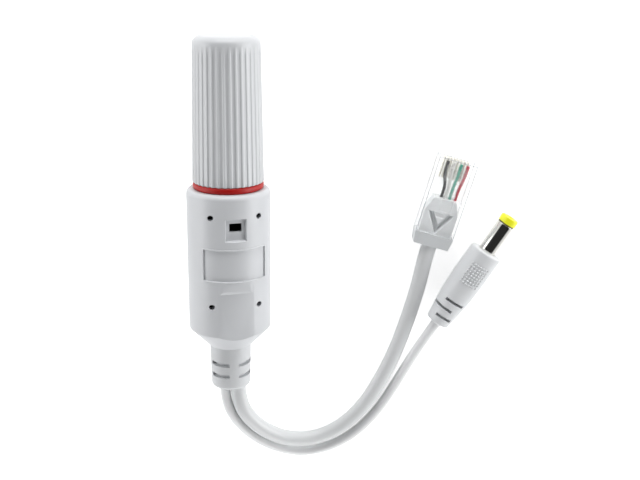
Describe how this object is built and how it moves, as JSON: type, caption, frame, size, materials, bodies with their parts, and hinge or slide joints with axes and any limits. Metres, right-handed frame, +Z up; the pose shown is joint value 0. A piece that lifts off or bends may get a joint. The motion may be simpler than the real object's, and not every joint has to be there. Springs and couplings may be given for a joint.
{
  "type": "poe splitter",
  "caption": "Round in-line power-over-network splitter with a ribbed screw cap over its socket, and short cords to a clear data plug and a round power plug.",
  "frame": {"origin": "on the surface it lies on, under the middle of the round body's length", "axes": "+Z up, +Y along the body towards the screw cap, +X towards the side where the plugs lie"},
  "size_m": [0.0966, 0.1325, 0.024],
  "materials": {
    "shell_plastic": "fine moulded texture",
    "seal_rubber": "smooth",
    "black_plastic": "satin",
    "gold_contact": "plated",
    "board_laminate": "solder mask",
    "ferrite": "dull",
    "can_aluminium": "satin",
    "relief_plastic": "soft moulded",
    "cord_jacket": "smooth jacket",
    "lead_jacket": "smooth",
    "clear_plastic": "clear moulded",
    "insert_plastic": "moulded",
    "red_wire": "smooth",
    "green_wire": "smooth",
    "white_wire": "smooth",
    "black_wire": "smooth",
    "plated_metal": "bright nickel plate",
    "yellow_plastic": "moulded"
  },
  "bodies": {
    "main": {"housing": "shell_plastic", "threaded_collar": "shell_plastic", "jack_housing": "black_plastic", "jack_contacts": "gold_contact", "circuit_board": "board_laminate", "power_transformer": "black_plastic", "transformer_core": "ferrite", "data_transformer": "black_plastic", "input_capacitor": "can_aluminium", "output_capacitor": "can_aluminium", "bridge_rectifiers": "black_plastic", "controller_chip": "black_plastic", "rectifier_diode": "black_plastic", "power_inductor": "ferrite", "chip_components": "black_plastic", "data_leads": "lead_jacket", "power_leads": "lead_jacket", "strain_relief": "relief_plastic", "ethernet_cable": "cord_jacket", "power_cable": "cord_jacket", "plug_body": "clear_plastic", "plug_contacts": "gold_contact", "plug_insert": "insert_plastic", "wire_red": "red_wire", "wire_green": "green_wire", "wire_white": "white_wire", "wire_black": "black_wire", "dc_boot": "relief_plastic", "dc_sleeve": "plated_metal", "dc_insulator": "black_plastic", "dc_tip": "yellow_plastic", "dc_centre_contact": "plated_metal"},
    "seal": {"seal_ring": "seal_rubber"},
    "cap": {"screw_cap": "shell_plastic"}
  },
  "joints": [
    {"name": "cap_travel", "type": "slide", "parent": "main", "child": "seal", "axis": [0, 1, 0], "range_m": [0, 0.0075]},
    {"name": "cap_turn", "type": "hinge", "parent": "seal", "child": "cap", "pos_m": [0, 0.0147, 0.012], "axis": [0, 1, 0], "range_deg": [0, 1080]}
  ],
  "couplings": [
    {"joint": "cap_turn", "follows": "cap_travel", "rad_per_m": 2513.3}
  ]
}
